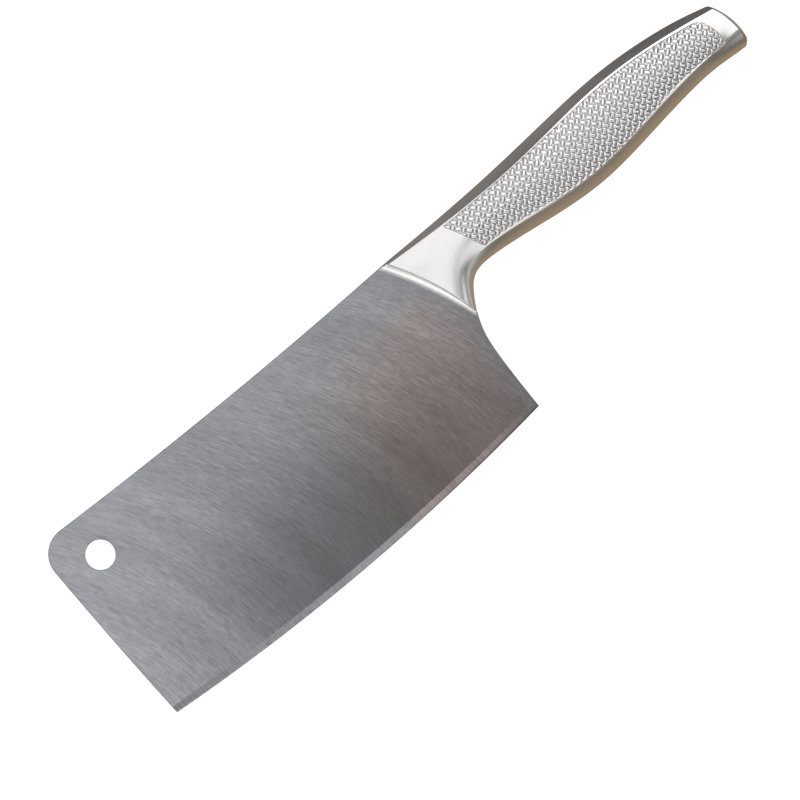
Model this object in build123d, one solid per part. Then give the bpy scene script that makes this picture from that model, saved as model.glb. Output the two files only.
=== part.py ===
from build123d import *
from math import cos, radians, sin
import numpy as np
import os

# Meat cleaver, all stainless steel: a plate blade with a hang hole, whose stub tang is welded into
# a slotted plug, and a hollow handle of two pressed shells with bonded sand inside for balance.
#
# Millimetres. The cleaver lies on its right side. +X runs from the blade's toe to the butt of the
# handle, +Y from the cutting edge to the spine, +Z out of the blade's left side. The origin is
# under the middle of the cleaver, level with the lowest point of the handle.

# ---------------------------------------------------------------- driving dimensions
HANDLE_HALF = 10.0  # half the handle's greatest thickness
BLADE_THICK = 2.5
SHELL_WALL = 1.2  # sheet that the handle shells are pressed from
BUTT_WALL = 1.6
SEAM_WIDTH = 0.8  # weld between the two shells
LOOSE = 0.2  # gap round the plug inside the neck

# Blade, in plan
TOE_LOW, TOE_MID, TOE_TOP = (-148.1, -37.5), (-149.3, -6.0), (-150.1, 36.7)
TOE_RADIUS = 10.0
SPINE_DIP = (-72.0, 34.95)  # lowest point of the slightly hollow spine
EDGE_BELLY = (-76.0, -40.5)  # lowest point of the curved cutting edge
HEEL = (14.6, -35.0)
HEEL_CURVE = [(14.8, -21.0), (15.3, -10.6), (16.6, -2.4)]  # from the heel up towards the neck

HOLE_CENTRE = (-134.1, 21.0)
HOLE_RADIUS = 5.25

GRIND_WIDTH, GRIND_SLOPE = 2.6, 0.33  # the grind that thins the plate towards the edge
SHARP_WIDTH, SHARP_SLOPE = 0.7, 0.5  # the sharpened edge

# Neck, in plan, spine to belly: front of the polished weld ramp, and mouth of the shells behind it
RAMP = ((1.9, 36.33), (11.1, 19.6), (18.25, 2.2))
MOUTH = ((4.6, 36.4), (13.4, 19.6), (18.7, 3.4))
ROOT_RELIEF = 0.15  # how much each face of the blade is ground back under the weld
MOUTH_HALF = 3.8  # half the handle's thickness at its mouth
RAMP_HEIGHT = 1.7  # how far the weld ramp stands above the blade at the mouth
PLUG_LENGTH = 6.0

# Stub tang
TANG_TOP, TANG_BOTTOM, TANG_END = 32.5, 19.5, 44.0
TANG_RADIUS = 4.0
TANG_HOLES_X = [28.0, 37.0]
TANG_HOLE_RADIUS = 2.0
TANG_WELD_LEG = 1.5

# Handle stations from the mouth to past the butt: the point on the spine, the point on the belly,
# half the thickness, how wide the spine and belly sides look from above, and how soft the belly
# crease is, from 0 for a sharp one to 1 for a smooth shoulder
STATIONS = [
    ((0.4, 36.3), (16.7, -1.2), 3.2, 1.0, 0.8, 1.0),
    (MOUTH[0], MOUTH[2], MOUTH_HALF, 1.25, 1.1, 1.0),
    ((11.5, 36.45), (23.0, 10.5), 5.2, 1.8, 2.1, 1.0),
    ((19.5, 36.5), (28.2, 14.35), 6.7, 2.3, 3.2, 0.9),
    ((30.0, 36.7), (36.5, 14.8), 8.2, 2.9, 4.0, 0.4),
    ((45.0, 37.15), (49.5, 13.4), 9.3, 3.4, 4.2, 0.0),
    ((62.0, 38.15), (65.0, 11.3), 9.85, 3.75, 4.1, 0.0),
    ((80.0, 39.5), (81.5, 10.45), HANDLE_HALF, 3.6, 4.0, 0.0),
    ((98.0, 40.45), (98.5, 12.0), 9.95, 3.3, 3.9, 0.0),
    ((115.0, 39.9), (115.5, 14.35), 9.7, 3.2, 4.1, 0.0),
    ((131.0, 37.9), (132.0, 15.85), 9.4, 3.1, 4.3, 0.1),
    ((143.0, 35.2), (143.8, 15.35), 9.2, 2.9, 5.6, 0.6),
    ((152.5, 32.6), (153.5, 15.0), 9.0, 2.4, 6.6, 1.0),
]
CREASE_HEIGHT = 0.78  # height of both creases, over half the thickness
CROWN_PLACE = 0.47  # where the face is highest, from spine to belly
FACE_TILT, SIDE_TILT = 18, 53  # slope of face and side where they meet at a sharp crease, degrees
SOFT_TILT = 36  # slope of both at a smooth shoulder
SECTIONS_PER_STATION = 3

# Butt, in plan: one arc across it and a smaller one round its lower corner
BUTT_TOP, BUTT_MID, BUTT_LOW = (144.6, 36.5), (148.5, 29.3), (150.0, 19.0)
CORNER_MID, CORNER_END = (149.3, 16.4), (147.2, 14.6)
BUTT_ROUND = 1.0

# Recessed grip panel, in plan, anticlockwise
PANEL_FRONT_LOW, PANEL_FRONT_TOP = (35.2, 18.9), (27.8, 33.5)
PANEL_BACK_LOW, PANEL_BACK_MID, PANEL_BACK_TOP = (142.9, 20.5), (142.5, 27.0), (140.4, 32.5)
PANEL_BELLY = [(45.0, 18.5), (62.0, 16.2), (79.0, 14.85), (97.0, 16.1), (120.0, 19.6)]
PANEL_SPINE = [(121.0, 35.55), (102.0, 36.5), (80.0, 35.3), (55.0, 33.8)]
PANEL_RADIUS = 1.5
PANEL_DEPTH = 0.4

# Filling
STOPPER_X, STOPPER_THICK = 49.0, 2.0

REST_HEIGHT = HANDLE_HALF - PANEL_DEPTH  # height of the blade's mid-plane
BLADE_HALF = BLADE_THICK / 2
ROOT_HALF = BLADE_HALF - ROOT_RELIEF
SEAM_HALF = SEAM_WIDTH / 2
FAR = 250.0  # past the end of everything
HIGH = 30.0  # above everything


def prism(edges, low=-HIGH, high=HIGH):
    """A straight column between two heights, over a closed outline drawn in plan."""
    return Pos(0, 0, low) * extrude(make_face(edges), high - low)


def slab(x_range, y_range=(-FAR, FAR), z_range=(-HIGH, HIGH)):
    """A box between limits."""
    sizes = [high - low for low, high in (x_range, y_range, z_range)]
    middle = [(high + low) / 2 for low, high in (x_range, y_range, z_range)]
    return Pos(*middle) * Box(*sizes)


def behind(top, mid, low, shift=0.0):
    """Everything on the handle's side of an arc across the neck, moved along by shift."""
    arc = ThreePointArc(top, mid, low)
    up, down = (top[0] - 4, FAR), (low[0] + 4, -FAR)
    rest = Polyline(low, down, (FAR, -FAR), (FAR, FAR), up, top)
    return Pos(shift, 0, 0) * prism([arc, rest])


def ahead_of_butt(wall=0.0):
    """Everything on the blade's side of the butt, less the thickness of its wall."""
    end = ThreePointArc(BUTT_TOP, BUTT_MID, BUTT_LOW)
    corner = ThreePointArc(BUTT_LOW, CORNER_MID, CORNER_END)
    up, down = (BUTT_TOP[0] - 4, FAR), (CORNER_END[0] - 8, -FAR)
    rest = Polyline(CORNER_END, down, (-FAR, -FAR), (-FAR, FAR), up, BUTT_TOP)
    return Pos(-wall, 0, 0) * prism([end, corner, rest])


# ---------------------------------------------------------------- handle section
def slope(tilt, sign):
    """A direction that climbs by this many degrees, for the upper or the lower half."""
    return (cos(radians(tilt)), sign * sin(radians(tilt)))


def section(spine, belly, half, spine_width, belly_width, soft, inset=0.0, lower=0.0):
    """The face across the handle from spine to belly. inset shrinks it, lower flattens it."""
    across = (Vector(*belly) - Vector(*spine)).normalized()
    start = Vector(*spine) + across * inset
    length = (Vector(*belly) - start).length - inset
    top = half - inset - lower
    face_tilt = FACE_TILT + soft * (SOFT_TILT - FACE_TILT)
    side_tilt = SIDE_TILT + soft * (SOFT_TILT - SIDE_TILT)

    def half_outline(sign):
        crease = (spine_width, sign * CREASE_HEIGHT * top)
        crown = (CROWN_PLACE * length, sign * top)
        shoulder = (length - belly_width, sign * CREASE_HEIGHT * top)
        up = (0, sign)
        down = (0, -sign)
        return [
            Spline((0, 0), crease, tangents=[up, slope(SIDE_TILT, sign)]),
            Spline(crease, crown, shoulder, tangents=[slope(FACE_TILT, sign), slope(face_tilt, -sign)]),
            Spline(shoulder, (length, 0), tangents=[slope(side_tilt, -sign), down]),
        ]

    plane = Plane(origin=start, x_dir=across, z_dir=across.cross(Vector(0, 0, 1)))
    return (plane * make_face(half_outline(1) + half_outline(-1))).face()


def smooth(values, at):
    """A natural cubic spline through evenly spaced values, read at places counted in values."""
    values = np.array(values, float)
    last = len(values) - 1
    system = np.eye(last + 1)
    bend = np.zeros_like(values)
    for i in range(1, last):
        system[i, i - 1 : i + 2] = 1, 4, 1
        bend[i] = 6 * (values[i - 1] - 2 * values[i] + values[i + 1])
    bend = np.linalg.solve(system, bend)
    i = np.minimum(at.astype(int), last - 1)
    b = (at - i)[:, None]
    a = 1 - b
    cubic = (a**3 - a) * bend[i] + (b**3 - b) * bend[i + 1]
    return a * values[i] + b * values[i + 1] + cubic / 6


def handle_form(inset=0.0, lower=0.0):
    """The whole handle as a solid that still runs past its mouth and its butt."""
    columns = [(*spine, *belly, *rest) for spine, belly, *rest in STATIONS]
    count = (len(STATIONS) - 1) * SECTIONS_PER_STATION + 1
    rows = smooth(columns, np.linspace(0, len(STATIONS) - 1, count)).tolist()
    return loft([section(row[:2], row[2:4], *row[4:], inset, lower) for row in rows])


# ---------------------------------------------------------------- blade
def grinding(width, half, slope):
    """What is ground off both faces: from this width in from the edge, where the plate is half
    thick each side, down towards the edge at a slope. The cutting edge is one long arc."""
    edge = ThreePointArc(TOE_LOW, EDGE_BELLY, HEEL)
    start, run = edge.radius - width, width + 1.0
    profile = [(start, half), (start + run, half - slope * run), (start + run, HIGH), (start, HIGH)]
    ring = revolve(Plane.XZ * make_face(Polyline(profile, close=True)), Axis.Z)
    ring = Pos(edge.arc_center) * ring
    return ring + mirror(ring, Plane.XY)


def make_blade():
    outline = [
        ThreePointArc(TOE_LOW, TOE_MID, TOE_TOP),
        ThreePointArc(TOE_TOP, SPINE_DIP, MOUTH[0]),
        ThreePointArc(*MOUTH),
        Spline([MOUTH[2]] + HEEL_CURVE[::-1] + [HEEL]),
        ThreePointArc(HEEL, EDGE_BELLY, TOE_LOW),
    ]
    plate = prism(outline, -BLADE_HALF, BLADE_HALF)
    toe = plate.edges().filter_by(Axis.Z).sort_by_distance((*TOE_TOP, 0))[0]
    plate = fillet(toe, TOE_RADIUS)
    plate -= grinding(GRIND_WIDTH, BLADE_HALF, GRIND_SLOPE)
    sharp_half = BLADE_HALF - GRIND_SLOPE * (GRIND_WIDTH - SHARP_WIDTH)
    plate -= grinding(SHARP_WIDTH, sharp_half, SHARP_SLOPE)
    for face in ((ROOT_HALF, HIGH), (-HIGH, -ROOT_HALF)):
        plate -= behind(*RAMP) & slab((-FAR, FAR), z_range=face)
    tang = slab((0, TANG_END), (TANG_BOTTOM, TANG_TOP), (-ROOT_HALF, ROOT_HALF))
    plate += fillet(tang.edges().filter_by(Axis.Z).sort_by(Axis.X)[-2:], TANG_RADIUS)
    plate -= Pos(*HOLE_CENTRE) * Cylinder(HOLE_RADIUS, HIGH)
    for x in TANG_HOLES_X:
        plate -= Pos(x, (TANG_TOP + TANG_BOTTOM) / 2) * Cylinder(TANG_HOLE_RADIUS, HIGH)
    return plate


# ---------------------------------------------------------------- neck
def make_neck_plug():
    """The slotted plug in the neck of the handle, which the tang passes through."""
    plug = handle_form(SHELL_WALL + LOOSE) & (behind(*MOUTH) - behind(*MOUTH, PLUG_LENGTH))
    return plug - slab((0, FAR), (TANG_BOTTOM, TANG_TOP), (-ROOT_HALF, ROOT_HALF))


def make_neck_weld():
    """The polished weld ramps between the blade's two faces and the mouth of the handle."""
    front, back = ThreePointArc(*RAMP), ThreePointArc(*MOUTH)
    low, foot, top = (Vector(0, 0, z) for z in (ROOT_HALF, BLADE_HALF, BLADE_HALF + RAMP_HEIGHT))
    faces = []
    for t in (0.0, 0.25, 0.5, 0.75, 1.0):
        corners = [front @ t + low, back @ t + low, back @ t + top, front @ t + foot]
        faces.append(make_face(Polyline(corners, close=True)))
    ramp = loft(faces)
    return Compound(children=[ramp, mirror(ramp, Plane.XY)])


def make_tang_welds():
    """A fillet bead along each face of the tang, at the back of the plug."""
    zone = behind(*MOUTH, PLUG_LENGTH) - behind(*MOUTH, PLUG_LENGTH + TANG_WELD_LEG)
    y_range = (TANG_BOTTOM + 1.5, TANG_TOP - 1.5)
    bead = zone & slab((0, FAR), y_range, (ROOT_HALF, ROOT_HALF + TANG_WELD_LEG))
    corner = bead.edges().group_by(Axis.Z)[-1].sort_by(Axis.X)[-1]
    bead = chamfer(corner, 0.8 * TANG_WELD_LEG).solid()
    return Compound(children=[bead, mirror(bead, Plane.XY)])


# ---------------------------------------------------------------- handle
def panel_outline():
    belly = Spline([PANEL_FRONT_LOW] + PANEL_BELLY + [PANEL_BACK_LOW])
    back = ThreePointArc(PANEL_BACK_LOW, PANEL_BACK_MID, PANEL_BACK_TOP)
    spine = Spline([PANEL_BACK_TOP] + PANEL_SPINE + [PANEL_FRONT_TOP])
    return [belly, back, spine, Line(PANEL_FRONT_TOP, PANEL_FRONT_LOW)]


def make_handle_wall():
    """The whole wall of the handle, before it is parted into two shells and their weld."""
    outer = handle_form() & ahead_of_butt() & behind(*MOUTH)
    ends = outer.faces().filter_by(GeomType.CYLINDER).sort_by(Axis.X)[-2:]
    rim = [e for end in ends for e in end.edges() if abs(e.center().Z) > 0.1]
    return fillet(rim, BUTT_ROUND) - cavity


cavity = handle_form(SHELL_WALL) & ahead_of_butt(BUTT_WALL) & behind(*MOUTH)
wall = make_handle_wall()


def make_left_shell():
    shell = wall & slab((-FAR, FAR), (-FAR, FAR), (SEAM_HALF, HIGH))
    panel = prism(panel_outline(), SEAM_HALF, HIGH)
    panel = fillet(panel.edges().filter_by(Axis.Z), PANEL_RADIUS)
    return shell - (panel - handle_form(lower=PANEL_DEPTH))


left_shell = make_left_shell()
nodes = {
    "blade": make_blade(),
    "neck_plug": make_neck_plug(),
    "neck_weld": make_neck_weld(),
    "tang_welds": make_tang_welds(),
    "handle_shell_left": left_shell,
    "handle_shell_right": mirror(left_shell, Plane.XY),
    "seam_weld": wall & slab((-FAR, FAR), (-FAR, FAR), (-SEAM_HALF, SEAM_HALF)),
    "filling_stopper": cavity & slab((STOPPER_X, STOPPER_X + STOPPER_THICK)),
    "balance_filling": cavity & slab((STOPPER_X + STOPPER_THICK, FAR)),
}

os.makedirs("parts", exist_ok=True)
for name, shape in nodes.items():
    export_step(Pos(0, 0, REST_HEIGHT) * shape, f"parts/{name}.step")
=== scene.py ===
import math

import bmesh
import bpy
import numpy as np
from mathutils import Matrix, Vector


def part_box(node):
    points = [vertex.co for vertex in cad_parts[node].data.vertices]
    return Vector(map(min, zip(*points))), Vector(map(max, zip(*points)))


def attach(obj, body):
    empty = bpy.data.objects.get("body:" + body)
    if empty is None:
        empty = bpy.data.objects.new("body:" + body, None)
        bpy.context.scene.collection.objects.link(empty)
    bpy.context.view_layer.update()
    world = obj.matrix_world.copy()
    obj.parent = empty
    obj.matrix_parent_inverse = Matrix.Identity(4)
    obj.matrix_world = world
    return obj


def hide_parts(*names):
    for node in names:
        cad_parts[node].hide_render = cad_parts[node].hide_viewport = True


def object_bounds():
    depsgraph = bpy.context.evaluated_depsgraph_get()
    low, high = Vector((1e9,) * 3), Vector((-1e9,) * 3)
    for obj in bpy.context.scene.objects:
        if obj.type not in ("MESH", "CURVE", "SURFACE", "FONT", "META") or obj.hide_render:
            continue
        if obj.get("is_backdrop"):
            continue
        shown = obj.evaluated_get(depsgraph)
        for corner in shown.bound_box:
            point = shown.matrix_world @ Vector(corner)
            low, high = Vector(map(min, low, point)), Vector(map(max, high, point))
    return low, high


# A meat cleaver of stainless steel, in the frame of its CAD: +X from the blade's toe to the butt
# of the handle, +Y from the cutting edge to the spine, +Z out of the blade's left side.
# Shapes are worked out in millimetres and scaled to metres when a mesh is made.

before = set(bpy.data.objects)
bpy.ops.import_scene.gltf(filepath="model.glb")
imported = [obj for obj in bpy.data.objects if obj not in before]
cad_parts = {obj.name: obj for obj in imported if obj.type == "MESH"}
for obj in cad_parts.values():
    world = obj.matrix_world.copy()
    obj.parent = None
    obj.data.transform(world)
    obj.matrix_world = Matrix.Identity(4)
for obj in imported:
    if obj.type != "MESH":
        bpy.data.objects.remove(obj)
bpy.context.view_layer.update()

MM = 0.001
BLADE_LOW, BLADE_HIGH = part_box("blade")
MIDDLE = (BLADE_LOW.z + BLADE_HIGH.z) / 2 / MM  # height of the blade's mid-plane
BLADE_HALF = (BLADE_HIGH.z - BLADE_LOW.z) / 2 / MM

# ---------------------------------------------------------------- sizes, in millimetres
# Blade, in plan
TOE_LOW, TOE_MID, TOE_TOP = (-148.1, -37.5), (-149.3, -6.0), (-150.1, 36.7)
TOE_RADIUS = 10.0
SPINE_DIP = (-72.0, 34.95)
EDGE_BELLY = (-76.0, -40.5)
HEEL = (14.6, -35.0)
HEEL_CURVE = [(14.8, -21.0), (15.3, -10.6), (16.6, -2.4)]
HOLE_CENTRE, HOLE_RADIUS, HOLE_CHAMFER = (-134.1, 21.0), 5.25, 0.15
GRIND_WIDTH, GRIND_SLOPE = 2.6, 0.33
SHARP_WIDTH, SHARP_SLOPE = 0.7, 0.5
EDGE_BREAK = 0.18  # worn corner along the spine, the toe and the heel
EDGE_BREAK_DEPTH = 0.9 * EDGE_BREAK
GRIND_CLEAR = 0.6  # room above the grind before the worn corners begin
EDGE_POINTS, HOLE_POINTS = 200, 96

# Neck, in plan, spine to belly
RAMP = ((1.9, 36.33), (11.1, 19.6), (18.25, 2.2))
MOUTH = ((4.6, 36.4), (13.4, 19.6), (18.7, 3.4))
RAMP_SLOPE = 0.5
RAMP_SPREAD = 0.5  # how far the polishing runs on in front of the weld
RAMP_ENDS = 1.3  # length over which the ramp sinks at its two ends
RAMP_POINTS, RAMP_STEPS = 90, 10
WELD_CREASE = 40  # degrees above which an edge of a weld stays sharp
MOUTH_HALF = 3.8
ROOT_HALF = 1.1  # how deep the ramps reach into the blade, from its mid-plane
MOUTH_ROUND = 0.35

# Tang
TANG_TOP, TANG_BOTTOM, TANG_END, TANG_RADIUS = 32.5, 19.5, 44.0, 4.0
TANG_START = 0.5  # behind the mouth

# Handle
HANDLE_HALF = 10.0
SHELL_WALL, BUTT_WALL = 1.2, 1.6
SEAM_HALF = 0.4
SEAM_STEP = 0.12  # least spacing of points along the seam
BUTT_ROUND = 1.1
# Sections from the neck to the butt: the seam on the spine, the seam on the belly, half the
# thickness, the widths of the spine and belly sides, and how soft the belly crease is
STATIONS = [
    ((0.4, 36.3), (16.7, -1.2), 3.2, 1.0, 0.8, 1.0),
    (MOUTH[0], MOUTH[2], MOUTH_HALF, 1.25, 1.1, 1.0),
    ((11.5, 36.45), (23.0, 10.5), 5.2, 1.8, 2.1, 1.0),
    ((19.5, 36.5), (28.2, 14.35), 6.7, 2.3, 3.2, 0.9),
    ((30.0, 36.7), (36.5, 14.8), 8.2, 2.9, 4.0, 0.4),
    ((45.0, 37.15), (49.5, 13.4), 9.3, 3.4, 4.2, 0.0),
    ((62.0, 38.15), (65.0, 11.3), 9.85, 3.75, 4.1, 0.0),
    ((80.0, 39.5), (81.5, 10.45), HANDLE_HALF, 3.6, 4.0, 0.0),
    ((98.0, 40.45), (98.5, 12.0), 9.95, 3.3, 3.9, 0.0),
    ((115.0, 39.9), (115.5, 14.35), 9.7, 3.2, 4.1, 0.0),
    ((131.0, 37.9), (132.0, 15.85), 9.4, 3.0, 4.3, 0.0),
    ((143.0, 35.2), (143.8, 15.35), 9.2, 2.3, 5.4, 0.2),
    ((152.5, 32.6), (153.5, 15.0), 9.0, 1.3, 5.6, 0.3),
]
CREASE_HEIGHT = 0.78  # share of half the thickness
BUTT_FLATTER, FLATTER_FROM, FLATTER_TO = 0.11, 9.5, 11.3  # added share, and two stations
CROWN_PLACE = 0.47  # share of the way from spine to belly
FACE_TILT, SIDE_TILT, SOFT_TILT = 18, 53, 36  # degrees at a crease, and where it is soft
BUTT_TOP, BUTT_MID, BUTT_LOW = (144.6, 36.5), (148.5, 29.3), (150.0, 19.0)
CORNER_LEVEL, CORNER_RADIUS = 14.75, 3.4  # the rounded corner of butt and belly

# Recessed grip panel, in plan
PANEL_FRONT_LOW, PANEL_FRONT_TOP = (35.2, 18.9), (27.8, 33.5)
PANEL_BACK_LOW, PANEL_BACK_MID, PANEL_BACK_TOP = (142.9, 20.5), (142.5, 27.0), (140.4, 32.5)
PANEL_BELLY = [(45.0, 18.5), (62.0, 16.2), (79.0, 14.85), (97.0, 16.1), (120.0, 19.6)]
PANEL_SPINE = [(121.0, 35.55), (102.0, 36.5), (80.0, 35.3), (55.0, 33.8)]
PANEL_FRONT_RADIUS = 0.5
PANEL_BACK_RADII = 1.7, 0.9  # of the corner by the spine, and of the one by the belly
PANEL_DEPTH = 0.4
PANEL_FLANK = 0.28  # width of the step down into the panel

# Weave pressed into the panel
STRAND_SPACING = 1.98
STRAND_HALF = 0.70  # half the width of a strand
STRAND_RUN = 1.20  # how far a strand runs from its top to where it dives under the next
STRAND_HEIGHT = 0.47
WEAVE_TURN = 45 - 1.8  # degrees from the handle's length
WEAVE_START = (86.0, 25.0)

# Mesh of a shell
GRID_STEP = 0.176  # spacing on the panel
PANEL_RUN, PANEL_SPAN = 114, 19.5  # length and width that the fine mesh is counted for
PANEL_MARGIN = 0.5  # how far the fine mesh runs past the panel's border
FACE_ENDS = 0.02, 0.992  # the fine mesh stays between these shares of the face
STATION_LENGTH, FACE_WIDTH = 17.0, 20.0  # near the panel
MOUTH_STEPS, BUTT_STEPS, WALL_STEPS = 4, 6, 6
INNER_ROWS, INNER_COLUMNS, INNER_STEPS = 49, 19, 3
HALVINGS, SEAM_HALVINGS = 30, 24  # steps of a search by halving
BUTT_ROUNDS, GRID_ROUNDS = 6, 8  # repeats until the butt and the grid settle
# Stations between which the mouth and the butt are searched for, outside and inside
MOUTH_RANGE, BUTT_RANGE, INNER_BUTT_RANGE = (0.2, 3.0), (10.0, 12.0), (9.0, 12.0)
FIRST_GUESS = [1.3, 4.0, 11.0, 11.6]  # stations of the mouth, the panel's ends and the butt
TOUCHING = 1e-7  # metres within which points are joined
SMALL = 1e-3  # step for a slope


# ---------------------------------------------------------------- curves
def smooth_step(low, high, value):
    t = np.clip((value - low) / (high - low), 0, 1)
    return t * t * (3 - 2 * t)


def natural_spline(knots, values, at):
    """A natural cubic spline through values at the knots, read at other places."""
    knots, values = np.asarray(knots, float), np.asarray(values, float)
    gap = np.diff(knots)
    last = len(knots) - 1
    system = np.eye(last + 1)
    bend = np.zeros_like(values)
    for i in range(1, last):
        system[i, i - 1 : i + 2] = gap[i - 1], 2 * (gap[i - 1] + gap[i]), gap[i]
        rise = (values[i + 1] - values[i]) / gap[i] - (values[i] - values[i - 1]) / gap[i - 1]
        bend[i] = 6 * rise
    bend = np.linalg.solve(system, bend)
    i = np.clip(np.searchsorted(knots, at, side="right") - 1, 0, last - 1)
    width = gap[i][:, None]
    b = (at - knots[i])[:, None] / width
    a = 1 - b
    cubic = ((a**3 - a) * bend[i] + (b**3 - b) * bend[i + 1]) * width**2 / 6
    return a * values[i] + b * values[i + 1] + cubic


def curve_through(points, count):
    """Points along a smooth curve through a few given ones."""
    points = np.asarray(points, float)
    knots = np.concatenate([[0], np.cumsum(np.linalg.norm(np.diff(points, axis=0), axis=1))])
    return natural_spline(knots, points, np.linspace(0, knots[-1], count))


def circle_through(a, b, c):
    """Centre and radius of the circle through three points."""
    (ax, ay), (bx, by), (cx, cy) = a, b, c
    d = 2 * (ax * (by - cy) + bx * (cy - ay) + cx * (ay - by))
    a2, b2, c2 = ax**2 + ay**2, bx**2 + by**2, cx**2 + cy**2
    x = (a2 * (by - cy) + b2 * (cy - ay) + c2 * (ay - by)) / d
    y = (a2 * (cx - bx) + b2 * (ax - cx) + c2 * (bx - ax)) / d
    return np.array([x, y]), math.hypot(ax - x, ay - y)


def arc(a, b, c, count):
    """Points along the arc from a through b to c, both ends included."""
    centre, radius = circle_through(a, b, c)
    angles = [math.atan2(p[1] - centre[1], p[0] - centre[0]) for p in (a, b, c)]
    angles = np.unwrap(angles)
    turn = np.linspace(angles[0], angles[2], count)
    return centre + radius * np.column_stack([np.cos(turn), np.sin(turn)])


# ---------------------------------------------------------------- handle surface
PLACES = np.linspace(0, len(STATIONS) - 1, 2401)
LINES = natural_spline(
    np.arange(len(STATIONS)), [(*spine, *belly, *rest) for spine, belly, *rest in STATIONS], PLACES
)


def section_at(place):
    """The eight values of the section at places counted in stations."""
    return [np.interp(place, PLACES, LINES[:, k]) for k in range(LINES.shape[1])]


def hermite(start, end, leave, arrive, w):
    """A cubic from start to end with given slopes at both."""
    return (
        (2 * w**3 - 3 * w**2 + 1) * start
        + (w**3 - 2 * w**2 + w) * leave
        + (3 * w**2 - 2 * w**3) * end
        + (w**3 - w**2) * arrive
    )


def side_curve(width, height, tilt, w):
    """The side of the handle from the seam, w = 0, up to the crease, w = 1: inward and up."""
    chord = np.hypot(width, height)
    inward = hermite(0.0, width, 0.0, chord * np.cos(tilt), w)
    up = hermite(0.0, height, chord, chord * np.sin(tilt), w)
    return inward, up


def seam_start(width, height, tilt):
    """Where the side curve reaches the upper edge of the seam."""
    low, high = np.zeros_like(width), np.ones_like(width)
    for _ in range(SEAM_HALVINGS):
        middle = (low + high) / 2
        below = side_curve(width, height, tilt, middle)[1] < SEAM_HALF
        low, high = np.where(below, middle, low), np.where(below, high, middle)
    return low


def crease_at(place, top):
    """Height of the creases. The face grows flatter towards the butt."""
    return (CREASE_HEIGHT + BUTT_FLATTER * smooth_step(FLATTER_FROM, FLATTER_TO, place)) * top


def face_curve(length, top, crease, spine_width, belly_width, soft, w):
    """The face from the spine crease, w = 0, over the crown to the belly crease, w = 1."""
    first = np.array([spine_width, crease])
    crown = np.array([CROWN_PLACE * length, top])
    last = np.array([length - belly_width, crease])
    gap0 = np.hypot(*(crown - first))
    gap1 = np.hypot(*(last - crown))
    v0, v1 = (crown - first) / gap0, (last - crown) / gap1
    bend = (v1 - v0) / (gap0 + gap1)
    lean0, lean1 = v0 - gap0 * bend, v1 + gap1 * bend
    tilt0 = math.radians(FACE_TILT)
    tilt1 = np.radians(FACE_TILT + soft * (SOFT_TILT - FACE_TILT))
    leave = np.array([np.full_like(top, math.cos(tilt0)), np.full_like(top, math.sin(tilt0))])
    arrive = np.array([np.cos(tilt1), -np.sin(tilt1)])
    leave = leave * np.hypot(*lean0)
    arrive = arrive * np.hypot(*lean1)
    across = 3 * (gap1 * v0 + gap0 * v1) - gap1 * leave - gap0 * arrive
    across = across / (2 * (gap0 + gap1))
    at = w * (gap0 + gap1)
    near = hermite(first, crown, leave * gap0, across * gap0, at / gap0)
    far = hermite(crown, last, across * gap1, arrive * gap1, (at - gap0) / gap1)
    return np.where(at < gap0, near, far)


def handle_point(place, u, inset=0.0):
    """A point of the upper half of the handle. place counts stations along it. u runs from 0 at
    the seam on the spine, 1 at the spine crease and 2 at the belly crease to 3 at the seam on the
    belly. Heights are from the mid-plane."""
    sx, sy, bx, by, half, spine_width, belly_width, soft = section_at(place)
    dx, dy = bx - sx, by - sy
    full = np.hypot(dx, dy)
    dx, dy = dx / full, dy / full
    length = full - 2 * inset
    top = half - inset
    soft_side = np.radians(SIDE_TILT + soft * (SOFT_TILT - SIDE_TILT))
    tilt = np.full_like(top, math.radians(SIDE_TILT))
    crease = crease_at(place, top)

    start = seam_start(spine_width, crease, tilt)
    w = start + (1 - start) * np.clip(u, 0, 1)
    spine_in, spine_up = side_curve(spine_width, crease, tilt, w)

    start = seam_start(belly_width, crease, soft_side)
    w = start + (1 - start) * np.clip(3 - u, 0, 1)
    belly_in, belly_up = side_curve(belly_width, crease, soft_side, w)

    across = np.clip(u - 1, 0, 1)
    face_in, face_up = face_curve(length, top, crease, spine_width, belly_width, soft, across)
    inward = np.where(u < 1, spine_in, np.where(u > 2, length - belly_in, face_in))
    up = np.where(u < 1, spine_up, np.where(u > 2, belly_up, face_up))
    reach = inward + inset
    return np.stack([sx + reach * dx, sy + reach * dy, up], axis=-1)


# ---------------------------------------------------------------- plan tests
MOUTH_CENTRE, MOUTH_RADIUS = circle_through(*MOUTH)
BUTT_CENTRE, BUTT_RADIUS = circle_through(BUTT_TOP, BUTT_MID, BUTT_LOW)
BACK_CENTRE, BACK_RADIUS = circle_through(PANEL_BACK_LOW, PANEL_BACK_MID, PANEL_BACK_TOP)


def ahead_of_mouth(x, y):
    """Distance in front of the mouth, less than nought behind it."""
    return MOUTH_RADIUS - np.hypot(x - MOUTH_CENTRE[0], y - MOUTH_CENTRE[1])


def rounded_corner(a, b, radius):
    """Distance inside a corner of two lines, rounded to a radius."""
    near = (a < radius) & (b < radius)
    inside = radius - np.hypot(radius - a, radius - b)
    return np.where(near, inside, np.minimum(a, b))


def past_butt(x, y, wall=0.0):
    """Distance past the butt and its rounded lower corner, less than nought inside the handle."""
    x = x + wall
    end = BUTT_RADIUS - np.hypot(x - BUTT_CENTRE[0], y - BUTT_CENTRE[1])
    return -rounded_corner(end, y - CORNER_LEVEL, CORNER_RADIUS)


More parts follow.
